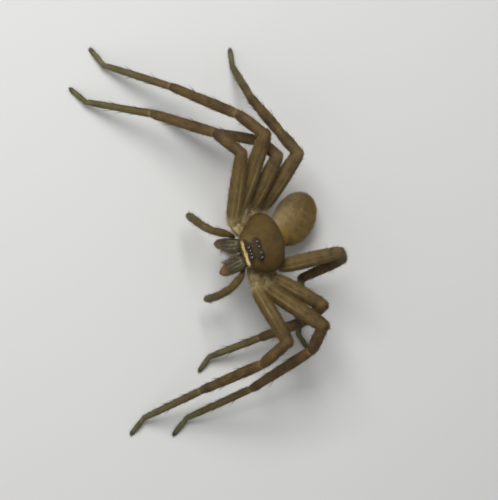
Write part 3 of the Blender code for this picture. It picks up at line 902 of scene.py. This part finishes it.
def makePedicel():
    # The waist: from under the carapace, round a bend, into the abdomen's front.
    way, side, up = abdomenAxes()
    face = (np.array(abdomen["centre"]) - way * (abdomen["length"] / 2 - 0.3)
            - up * abdomen["droop"] - side * abdomen["bend"])
    line = (*map(inBody, abdomen["pedicel"]), face)
    return [segmentShell(a, b, abdomen["pedicelRadius"], ((0.0, 0.9), (0.5, 1.0), (1.0, 1.0)), 0.12, 18,
                         "pedicel", lambda shell: {"dark": 0.3, "warm": 0.4})
            for a, b in zip(line, line[1:])]


spinnerets = {
    "along": 0.40,
    "drop": 0.375,
    # To the side, level, radius and length.
    "pairs": ((0.36, -0.24, 0.30, 1.15), (0.30, 0.20, 0.24, 1.20)),
    "keys": ((0.0, 1.0), (0.5, 0.98), (0.6, 0.82), (0.85, 0.7), (1.0, 0.4)),
}


def makeSpinnerets():
    # Two pairs of short two-part cones at the abdomen's tip.
    way, side, up = abdomenAxes()
    root = (np.array(abdomen["centre"]) + way * abdomen["length"] * spinnerets["along"]
            - up * abdomen["height"] * spinnerets["drop"])
    out = unit(way * 0.75 - up * 0.65)
    over = np.cross(side, out)
    shells = []
    for aside, level, size, length in spinnerets["pairs"]:
        for sign in (1, -1):
            a = root + side * aside * sign + over * level
            b = a + unit(out + side * 0.05 * sign - over * level * 0.3) * length
            shells.append(segmentShell(a, b, size, spinnerets["keys"], 0.07, 18, "spinneret", lambda shell: {
                "dark": 0.15 + 0.3 * hump(shell["share"], 0.55, 0.1), "fawn": 0.35}))
    return shells


carapaceShell = makeCarapace()
abdomenShell = makeAbdomen()
bodyShells = [carapaceShell, makeCore(), makeSternum(), abdomenShell,
              *makeMouth(), *makePedicel(), *makeSpinnerets()]
print("body shaped:", len(bodyShells), "shells")


# Materials of skin and hair, with the same markings on both.

coatColours = {
    "olive": seen(121, 102, 54),
    "brown": seen(105, 82, 40),
    "warm": seen(104, 66, 30),
    # On the lower legs this grey-green is partly painted greenish reflected light.
    "grey": seen(114, 114, 76),
    "gold": seen(178, 142, 52),
    "fawn": seen(186, 166, 124),
    "dark": seen(36, 25, 13),
    "cream": seen(234, 214, 148),
    "hairTip": seen(164, 140, 80),
    "blotchScale": 900.0,
    "skinRoughness": 0.62,
    "hairRoughness": 0.5,
}


def coatColour(shop):
    # Olive to brown by soft blotches, then to the other colours by the surface's marks.
    soft = shop.noise(shop.place(), coatColours["blotchScale"], 3.0, 0.6).clip(0.35, 0.65)
    colour = shop.blend(soft, coatColours["olive"], coatColours["brown"])
    for name in ("warm", "grey", "gold", "fawn"):
        colour = shop.blend(shop.mark(name), colour, coatColours[name])
    colour = shop.blend(shop.mark("dark") * 0.8, colour, coatColours["dark"])
    return shop.blend(shop.mark("pale"), colour, coatColours["cream"])


def skinMaterial():
    # The skin: the coat's colour, a little deeper, with streaks of lying hair as colour and bump.
    shop = Shop("hairedSkin", Roughness=coatColours["skinRoughness"], Specular_IOR_Level=0.35)
    streaks = shop.noise(shop.stretched((3.0, 22.0, 1.0)), 1.0, 3.0, 0.6)
    fine = shop.noise(shop.stretched((7.0, 55.0, 1.0)), 1.0, 2.0, 0.6)
    shade = (streaks * 0.6 + fine * 0.4).clip(0.3, 0.7)
    deep = shop.blend(0.42, coatColour(shop), coatColours["dark"])
    shop.feed("Base Color", shop.blend(shade * 0.8, deep, coatColour(shop)))
    shop.bump(streaks * 0.5 + fine * 0.5, 0.05 * mm, 0.8)
    return shop.material


def hairMaterial():
    # Hair: the coat's colour at its root, lighter towards the tip, and each tuft its own tone.
    shop = Shop("softHair", Roughness=coatColours["hairRoughness"], Specular_IOR_Level=0.4)
    colour = coatColour(shop)
    lighter = shop.blend(0.55, colour, coatColours["hairTip"])
    deeper = shop.blend(0.45, colour, coatColours["dark"])
    tone = shop.mark("tone")
    colour = shop.blend(tone.clip(0.35, 0.0) * 0.8, colour, deeper)
    colour = shop.blend(tone.clip(0.45, 1.0) * (shop.mark("tip") * 0.75 + 0.25), colour, lighter)
    shop.feed("Base Color", colour)
    return shop.material


skin = skinMaterial()
hair = hairMaterial()
legShells = [shell for shells in allLegs.values() for shell in shells]
palpShells = [shell for shells in allPalps.values() for shell in shells]
skinPiece = joinShells("skin", legShells + palpShells + bodyShells, skin)
replaced = [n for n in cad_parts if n.startswith(("leg_", "palp_"))]
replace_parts(skinPiece, *replaced, "carapace", "sternum", "mouthparts", "pedicel", "abdomen", "spinnerets")
print("skin made:", len(skinPiece.data.polygons), "faces")


# Hair as tufts of mesh.

draw = np.random.default_rng(21)
plainTuft = {"vary": 0.35, "liftVary": 12, "swing": 22, "steps": 1, "bend": 0.0}


def sampleShell(shell, perSquare, weight=None):
    # Random roots on a shell: each square of its grid gets its area times the density, and each
    # root a place between the square's corners.
    grid = shell["grid"]
    rings, sides = grid.shape[:2]
    a, b = grid[:-1], grid[1:]
    c, d = np.roll(a, -1, axis=1), np.roll(b, -1, axis=1)
    area = 0.5 * (np.linalg.norm(np.cross(b - a, c - a), axis=-1)
                  + np.linalg.norm(np.cross(b - d, c - d), axis=-1))
    if weight is not None:
        area = area * 0.5 * (weight[:-1] + weight[1:])
    count = draw.poisson(area * perSquare)
    i, j = np.nonzero(count)
    times = count[i, j]
    i, j = np.repeat(i, times), np.repeat(j, times)
    f, g = draw.random(len(i))[:, None], draw.random(len(i))[:, None]
    k = (j + 1) % sides

    def between(values):
        values = values if values.ndim == 3 else values[..., None]
        low = values[i, j] * (1 - g) + values[i, k] * g
        high = values[i + 1, j] * (1 - g) + values[i + 1, k] * g
        return low * (1 - f) + high * f
    found = {m: between(shell["marks"][m])[:, 0] for m in markNames}
    found["root"] = between(grid)
    found["normal"] = unit(between(shell["normals"]))
    found["lie"] = unit(between(shell["along"]))
    found["uv"] = np.concatenate(((i[:, None] + f) / (rings - 1), (j[:, None] + g) / sides), -1)
    return found


def merge(parts):
    # Several lots of roots end to end.
    return {key: np.concatenate([p[key] for p in parts]) for key in parts[0]}


def sampleStrip(shells, number, perSquare, weight=None):
    # Roots on one of several shells, with its own strip of the unwrap beside the others'.
    found = sampleShell(shells[number], perSquare, weight)
    u, v = found["uv"].T
    found["uv"] = np.stack(((number + u * 0.97 + 0.015) / len(shells), v), -1)
    return found


def sampleAll(shells, perSquare):
    # Roots on all of them, one strip after another.
    return merge([sampleStrip(shells, number, perSquare) for number in range(len(shells))])


def insideLine(points, line, slack=0.92):
    # Whether points lie inside a segment: nearer to its line than its radius there.
    a, b, first, middle, last = line
    way = b - a
    t = np.clip((points - a) @ way / (way @ way), 0, 1)
    size = np.interp(t, (0.0, 0.5, 1.0), (first, middle, last)) * slack
    return np.linalg.norm(points - a - t[:, None] * way, axis=1) < size


def makeTufts(name, found, look):
    # Each tuft is a thin three-sided spike in short lengths: it leaves the skin at its lift, bends
    # back towards the skin, and narrows to a point.
    look = {**plainTuft, **look}
    steps, bend = look["steps"], look["bend"]
    root, normal, lie = found["root"], found["normal"], found["lie"]
    count = len(root)
    length = look["length"] * (1 + look["vary"] * (draw.random(count) * 2 - 1)) * found.get("long", 1.0)
    width = look["width"] * (0.75 + 0.5 * draw.random(count))
    lift = np.radians(look["lift"] + look["liftVary"] * draw.standard_normal(count))
    swing = np.radians(look["swing"] * draw.standard_normal(count))[:, None]
    flat = unit(lie - normal * np.einsum("ij,ij->i", lie, normal)[:, None])
    way = flat * np.cos(swing) + np.cross(normal, flat) * np.sin(swing)
    across = np.cross(normal, way)

    def pathAt(share):
        # The tuft's middle line: straight along its lift, less a bend that grows with the square.
        # It starts a little under the skin.
        ahead = length * (np.cos(lift) * share + 0.3 * bend * share * share)
        out = length * (np.sin(lift) * share - bend * share * share) - 0.02 * (share == 0)
        return root + way * ahead[:, None] + normal * out[:, None]
    shares = np.arange(steps) / steps
    rows = []
    for share in shares:
        path = pathAt(share)
        size = width / 2 * (1 - share) ** 0.7 * (0.8 if share == 0 else 1.0)
        for turn in np.radians((90, 210, 330)):
            rows.append(path + across * (size * np.cos(turn))[:, None]
                        + normal * (size * np.sin(turn) * 0.7)[:, None])
    points = np.stack((*rows, pathAt(1.0)), 1)
    per = points.shape[1]
    base = np.arange(count)[:, None] * per
    last = per - 4
    pairs = ((0, 1), (1, 2), (2, 0))
    squares = [base + np.array((s + c, s + d, s + 3 + d, s + 3 + c))
               for s in range(0, last, 3) for c, d in pairs]
    ends = [base + np.array((last + c, last + d, per - 1)) for c, d in pairs]
    faces = [np.concatenate(group) for group in (squares, ends) if group]
    # The first tuft tells whether all of them are inside out.
    a, b, c = points[0, 0], points[0, 1], points[0, -1]
    if np.cross(b - a, c - a) @ (points[0, 2] - a) > 0:
        faces = [f[:, ::-1] for f in faces]
    cloud = points.reshape(-1, 3)
    cloud[:, 2] = np.clip(cloud[:, 2], clear["tuft"], ceiling)
    rising = np.repeat(shares, 3)
    marks = {m: np.repeat(found[m], per) for m in markNames}
    marks["tone"] = np.repeat(found["tone"] if "tone" in found else draw.random(count), per)
    marks["tip"] = np.tile((*rising, 1.0), count)
    # In the unwrap a tuft is a small patch about the place of its root.
    patch = np.array([*zip(np.tile((-0.5, 0.5, 0.0), steps), rising - 0.5), (0.0, 0.5)]) * 0.003
    places = found["uv"][:, None, :] * 0.996 + 0.002 + patch
    putMesh(name, cloud, faces, hair, marks, {"OFBake": places.reshape(-1, 2)})
    print("hair", name, count, "tufts", sum(len(f) * (f.shape[1] - 2) for f in faces), "triangles")


legHair = {
    "short": {"perSquare": 62.0, "length": 0.46, "width": 0.055, "lift": 17, "liftVary": 9, "swing": 16},
    "long": {"perSquare": 2.4, "length": 1.05, "width": 0.038, "lift": 44, "steps": 3, "bend": 0.16},
    "brush": {"perSquare": 90.0, "length": 0.36, "width": 0.040, "lift": 52, "swing": 25},
    "hip": {"perSquare": 20.0, "length": 0.88, "width": 0.045, "lift": 34, "swing": 40,
            "steps": 3, "bend": 0.15},
    "fringePerSquare": 9.0,
    "footMore": 1.35,                 # how much denser on metatarsus and tarsus
    "shorter": {"tarsus": 0.7, "metatarsus": 0.85, "coxa": 0.8, "trochanter": 0.7},
    "streaks": 11,
}


def coatLeg(name, shells):
    # Short fur all over, longer hairs here and there, a brush under metatarsus and tarsus, shaggy
    # pale hair about the hip, partly painted light, and a pale fringe along the front of the first femora.
    piles = {"short": [], "hip": [], "long": [], "brush": []}
    for number, shell in enumerate(shells):
        part, share, turn = shell["part"], shell["share"], shell["turn"]
        onFoot = part in ("metatarsus", "tarsus")
        for pile in ("short", "long"):
            density = legHair[pile]["perSquare"] * (legHair["footMore"] if onFoot else 1.0)
            found = sampleStrip(shells, number, density)
            buried = np.any([insideLine(found["root"], s["line"]) for s in shells if s is not shell], axis=0)
            found = {key: values[~buried] for key, values in found.items()}
            # Lengthwise streaks: the tone swings round the limb, and the swing wanders along it.
            u, v = found["uv"].T
            wander = 0.30 * np.sin(u * 55) + 0.12 * np.sin(u * 190 + number)
            streak = 0.5 + 0.5 * np.sin(2 * pi * (v * legHair["streaks"] + wander))
            found["tone"] = 0.45 * draw.random(len(u)) + 0.55 * streak
            found["long"] = np.full(len(u), legHair["shorter"].get(part, 1.0))
            piles[pile].append(found)
        if onFoot:
            under = stepUp(-np.sin(np.radians(turn)), -0.2, 0.5)
            found = sampleStrip(shells, number, legHair["brush"]["perSquare"], under)
            found["dark"] = np.clip(found["dark"] + 0.45, 0, 1)
            piles["brush"].append(found)
        if part == "femur" and name.endswith("1"):
            off = np.abs(offTurn(turn, 0 if name == "left1" else 180))
            front = stepUp(40 - off, 0, 15) * stepUp(share, 0.2, 0.45)
            found = sampleStrip(shells, number, legHair["fringePerSquare"], front)
            found["long"] = np.full(len(found["root"]), 1.05)
            found["fawn"] = found["fawn"] + 0.35
            piles["hip"].append(found)
        if part in ("coxa", "trochanter", "femur"):
            near = 1 - stepUp(share, 0.02, 0.16) if part == "femur" else None
            found = sampleStrip(shells, number, legHair["hip"]["perSquare"], near)
            found["long"] = np.ones(len(found["root"]))
            # This lighter hair about the hip is partly painted light on hair that lies in shade.
            found["fawn"] = 0.25 + draw.random(len(found["root"])) * 0.75
            found["pale"] = found["pale"] * 0.6
            found["dark"] = found["dark"] * 0.6
            piles["hip"].append(found)
    for title, pile in (("fur", "short"), ("hairs_hip", "hip"), ("hairs", "long"), ("brush", "brush")):
        makeTufts(f"{title}_{name}", merge(piles[pile]), legHair[pile])


for name, shells in allLegs.items():
    coatLeg(name, shells)

bodyHair = {
    "palpFur": {"perSquare": 70.0, "length": 0.40, "width": 0.045, "lift": 20, "swing": 18},
    "palpHairs": {"perSquare": 6.0, "length": 0.85, "width": 0.035, "lift": 40, "swing": 25,
                  "steps": 3, "bend": 0.14},
    "carapaceFur": {"perSquare": 75.0, "length": 0.34, "width": 0.050, "lift": 16,
                    "liftVary": 8, "swing": 20},
    "carapaceTone": 0.70,
    "abdomenFur": {"perSquare": 85.0, "length": 0.48, "width": 0.050, "lift": 20, "liftVary": 8, "swing": 14},
    "abdomenHairs": {"perSquare": 3.0, "length": 0.85, "width": 0.035, "lift": 38, "swing": 18,
                     "steps": 3, "bend": 0.15},
    "undersideFur": {"perSquare": 48.0, "length": 0.42, "width": 0.045, "lift": 26, "swing": 18},
}

for flank, shells in allPalps.items():
    for title in ("Fur", "Hairs"):
        look = bodyHair["palp" + title]
        makeTufts(f"{title.lower()}_palp_{flank}", sampleAll(shells, look["perSquare"]), look)

found = sampleShell(carapaceShell, bodyHair["carapaceFur"]["perSquare"])
found["tone"] = draw.random(len(found["root"])) * bodyHair["carapaceTone"]
makeTufts("fur_carapace", found, bodyHair["carapaceFur"])
for title in ("Fur", "Hairs"):
    look = bodyHair["abdomen" + title]
    makeTufts(f"{title.lower()}_abdomen", sampleShell(abdomenShell, look["perSquare"]), look)


# Spines.

spines = {
    "lengths": {"femur": 1.2, "patella": 0.8, "tibia": 1.6, "metatarsus": 1.6},
    "radius": 0.062,
    "lean": 24.0,
    "curve": (0.10, -0.08),           # how far its tip bends towards the foot, and to the skin
    "steps": 5,
    "sides": 6,
}


def spineMaterial():
    # Dark brown, a little glossy.
    shop = Shop("hornBrown", Roughness=0.35, Specular_IOR_Level=0.5)
    shop.feed("Base Color", shop.mottled(2500.0, 2.0, seen(46, 32, 20), seen(70, 52, 32)))
    return shop.material


def makeSpines():
    # Thin curved cones, rooted in the skin at each marked place and leaning towards the foot.
    cloud, squares, ends = [], [], []
    steps, sides = spines["steps"], spines["sides"]
    square = gridFaces(steps, sides)[0]
    j = np.arange(sides) + (steps - 1) * sides
    end = np.stack((j, np.roll(j, -1), np.full(sides, steps * sides)), -1)
    ahead, inward = spines["curve"]
    s = np.linspace(0, 1, steps + 1)[:, None]
    for shell in legShells:
        a, b, *sizes = shell["line"]
        way = unit(b - a)
        side, up = crossAxes(way)
        for share, angle in spinePlaces.get(shell["part"], ()):
            wobble = draw.standard_normal(3)
            t = radians(angle + 5 * wobble[0])
            out = side * cos(t) + up * sin(t)
            size = np.interp(share, (0, 0.5, 1), sizes)
            root = a + (b - a) * (share + 0.012 * wobble[1]) + out * size * 0.93
            lean = radians(spines["lean"] + 5 * wobble[2])
            long = spines["lengths"][shell["part"]] * (1 + 0.12 * wobble[1])
            path = root + long * (way * (cos(lean) * s + ahead * s * s)
                                  + out * (sin(lean) * s + inward * s * s))
            cross = unit(np.cross(way, out))
            lift = unit(np.cross(cross, path[1] - path[0]))
            ring = tube(path[:-1], cross, lift, spines["radius"] * (1 - s[:-1]) ** 0.75, sides)
            first = len(cloud) * (steps * sides + 1)
            cloud.append(np.concatenate((ring.reshape(-1, 3), path[-1:])))
            squares.append(square + first)
            ends.append(end + first)
    cloud = np.concatenate(cloud)
    cloud[:, 2] = np.clip(cloud[:, 2], clear["spine"], ceiling)
    putMesh("spines", cloud, [np.concatenate(squares), np.concatenate(ends)], spineMaterial(), {}, {})


makeSpines()
print("spines made")


# Chelicerae and fangs.

chelicerae = {
    "length": 4.9,
    "halfWidth": 1.12,
    "halfDepth": 0.98,
    "coat": 0.04,
    "keys": ((-0.02, 0.45), (0.03, 0.86), (0.14, 1.0), (0.32, 1.03), (0.62, 0.92), (0.85, 0.74),
             (0.96, 0.54), (1.0, 0.30)),
    "start": (4.08, 1.22, -0.62),
    "lean": {"right": (-0.06, 0.21, -1.0), "left": (0.16, 0.23, -1.0)},
    "fangLength": 2.3,
    "fangRadius": 0.30,
    "fringe": {"perSquare": 34.0, "length": 1.15, "width": 0.06, "lift": 46, "liftVary": 14,
               "steps": 3, "bend": 0.10},
    "fur": {"perSquare": 34.0, "length": 0.34, "width": 0.04, "lift": 14, "swing": 14},
    "hairs": {"perSquare": 6.0, "length": 0.95, "width": 0.035, "lift": 30, "swing": 16,
              "steps": 3, "bend": 0.12},
}


def cheliceraMaterial():
    # Dark and glossy, with pale grey-green lines near the face, a painted grey-green sheen on the front near
    # the root, and a brown far end.
    shop = Shop("darkHorn", Roughness=0.46, Specular_IOR_Level=0.42, Coat_Weight=0.06, Coat_Roughness=0.25)
    colour = shop.mottled(1400.0, 3.0, seen(36, 29, 18), seen(62, 52, 34))
    colour = shop.blend(shop.mark("warm"), colour, seen(116, 86, 56))
    # Painted sheen: grey-green where the grey mark lies, on the front near the root.
    colour = shop.blend(shop.mark("grey"), colour, seen(52, 56, 40))
    shop.feed("Base Color", shop.blend(shop.mark("fawn"), colour, seen(128, 126, 90)))
    shop.bump(shop.noise(shop.stretched((9.0, 14.0, 1.0)), 1.0, 3.0), 0.03 * mm, 0.5)
    return shop.material


def makeChelicera(flank):
    # A stout, slightly bowed cone: fullest in front near its root, narrowed to the fang's socket.
    # The fang curves from its end inwards and back.
    sign = 1 if flank == "left" else -1
    mirror = (1, sign, 1)
    way = turned(unit(np.array(chelicerae["lean"][flank]) * mirror))
    start = inBody(np.array(chelicerae["start"]) * mirror)
    front = turned((1.0, 0.0, 0.0))
    ahead = unit(front - way * (front @ way))
    aside = np.cross(way, ahead)
    far = np.array((-0.02, 0.0, 0.02, *np.linspace(0.04, 0.97, 46), 0.985, 1.0))[:, None]
    turn = circle(36)
    deep, wide = (through(chelicerae["keys"], far) * (chelicerae[k] - chelicerae["coat"])
                  for k in ("halfDepth", "halfWidth"))
    bow = 0.10 * np.sin(pi * np.clip(far, 0, 1)) * hump(far, 0.22, 0.3)
    grid = (start + way * (far * chelicerae["length"])[..., None]
            + ahead * (bow + deep * np.cos(turn))[..., None] + aside * (wide * np.sin(turn))[..., None])
    lines = (stepUp(np.cos(turn * 11 + 0.5 + 1.5 * far + 2.0 * blotches(grid, 0.9, 17)), -0.2, 0.9)
             * stepUp(np.cos(turn), -0.1, 0.5) * (0.5 + 0.5 * blotches(grid, 0.5, 19)))
    # The grey mark is a painted sheen on the front near the root. Fawn gives the pale lines.
    shell = makeShell(grid, {
        "warm": stepUp(far, 0.50, 0.85), "fawn": 0.62 * lines * stepUp(0.66 - far, 0.0, 0.4), "dark": 0.45,
        "grey": 0.45 * stepUp(0.6 - far, 0.0, 0.5) * stepUp(np.cos(turn), 0.0, 0.9)}, "chelicera")
    # Where the fringe grows: on the side towards the other chelicera, between root and far end.
    shell["inner"] = (stepUp(np.cos(turn - pi / 2 * sign), 0.45, 0.9) * stepUp(far, 0.04, 0.14)
                      * stepUp(0.86 - far, 0.0, 0.3))
    inward = unit(turned((-0.85, -0.45 * sign, -0.15)))
    t = np.linspace(0, 1, 26)[:, None]
    path = (start + way * (chelicerae["length"] + 0.02)
            + chelicerae["fangLength"] * (way * (0.42 * t - 0.30 * t * t)
                                          + inward * (0.25 * t + 0.50 * t * t)))
    ways = unit(np.gradient(path, axis=0))
    side = unit(np.cross(ways, aside))
    thick = chelicerae["fangRadius"] * np.clip(1 - t, 0.03, 1) ** 0.7
    fang = makeShell(tube(path, side, np.cross(ways, side), thick, 16), {"warm": 1 - t}, "fang")
    return shell, fang


horn = cheliceraMaterial()
for flank, sign in (("left", 1), ("right", -1)):
    shell, fang = makeChelicera(flank)
    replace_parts(joinShells(f"chelicera_{flank}_shell", [shell], horn), f"chelicera_{flank}")
    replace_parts(joinShells(f"fang_{flank}_curve", [fang], horn), f"fang_{flank}")
    found = sampleShell(shell, chelicerae["fringe"]["perSquare"], shell["inner"])
    found["lie"] = unit(found["lie"] + turned((0.0, -0.9 * sign, 0.0)))
    for mark, value in (("pale", 0.0), ("grey", 0.0), ("dark", 0.72), ("warm", 0.9)):
        found[mark] = np.full(len(found["root"]), value)
    makeTufts(f"hairs_fringe_{flank}", found, chelicerae["fringe"])
    found = sampleShell(shell, chelicerae["fur"]["perSquare"])
    found["dark"] = found["dark"] + 0.25 - 0.4 * found["fawn"]
    makeTufts(f"fur_chelicera_{flank}", found, chelicerae["fur"])
    found = sampleShell(shell, chelicerae["hairs"]["perSquare"])
    found["fawn"] = found["fawn"] + 0.25
    found["dark"] = found["dark"] * 0.8
    makeTufts(f"hairs_chelicera_{flank}", found, chelicerae["hairs"])
print("jaws made")

under = [s for s in bodyShells if s["part"] in ("core", "sternum", "mouth", "pedicel", "spinneret")]
look = bodyHair["undersideFur"]
makeTufts("fur_underside", sampleAll(under, look["perSquare"]), look)


# Eyes.

def eyeMaterial():
    # Near black under a clear, very smooth coat.
    shop = Shop("eyeGlass", Roughness=0.05, Specular_IOR_Level=0.9, Coat_Weight=1.0, Coat_Roughness=0.03)
    shop.feed("Base Color", shop.mottled(3000.0, 1.0, seen(10, 8, 9), seen(20, 16, 20)))
    return shop.material


def makeEyes():
    # Each lens is a ball sunk half into the head.
    glass = eyeMaterial()
    names = [f"{label}_{flank}" for label in eyes for flank in ("left", "right")]
    for name, (place, out, radius) in zip(names, eyePlaces()):
        way = turned(out)
        ball = ovoid(inBody(place), np.array((way, *crossAxes(way))) * radius, 22, 28, 0.06)
        piece = joinShells(f"eye_{name}_lens", [makeShell(ball)], glass)
        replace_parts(piece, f"eye_{name}")


makeEyes()
print("eyes made")


# Claws.

claws = {"length": 0.55, "radius": 0.055, "spread": 0.16, "steps": 8, "ahead": 0.22, "level": 0.12}


def makeClaws():
    # Two small hooks at each foot, side by side.
    shells = []
    up = np.array((0, 0, 1.0))
    t = np.linspace(0, 1, claws["steps"])[:, None]
    for leg in allLegs.values():
        a, b = leg[-1]["line"][:2]
        level = unit((b - a) * (1, 1, 0))
        side = np.cross(level, up)
        for sign in (1, -1):
            root = b + level * claws["ahead"] + side * claws["spread"] * 0.5 * sign + up * claws["level"]
            path = (root + level * (claws["length"] * (t - 0.25 * t * t)) + side * (sign * 0.12 * t)
                    + up * (0.10 * np.sin(pi * t) - 0.30 * t * t))
            grid = tube(path, side, up, claws["radius"] * (1 - 0.9 * t), 8)
            shells.append(makeShell(grid, {"warm": 0.6}, "claw"))
    joinShells("claws", shells, horn)


makeClaws()
print("claws made")
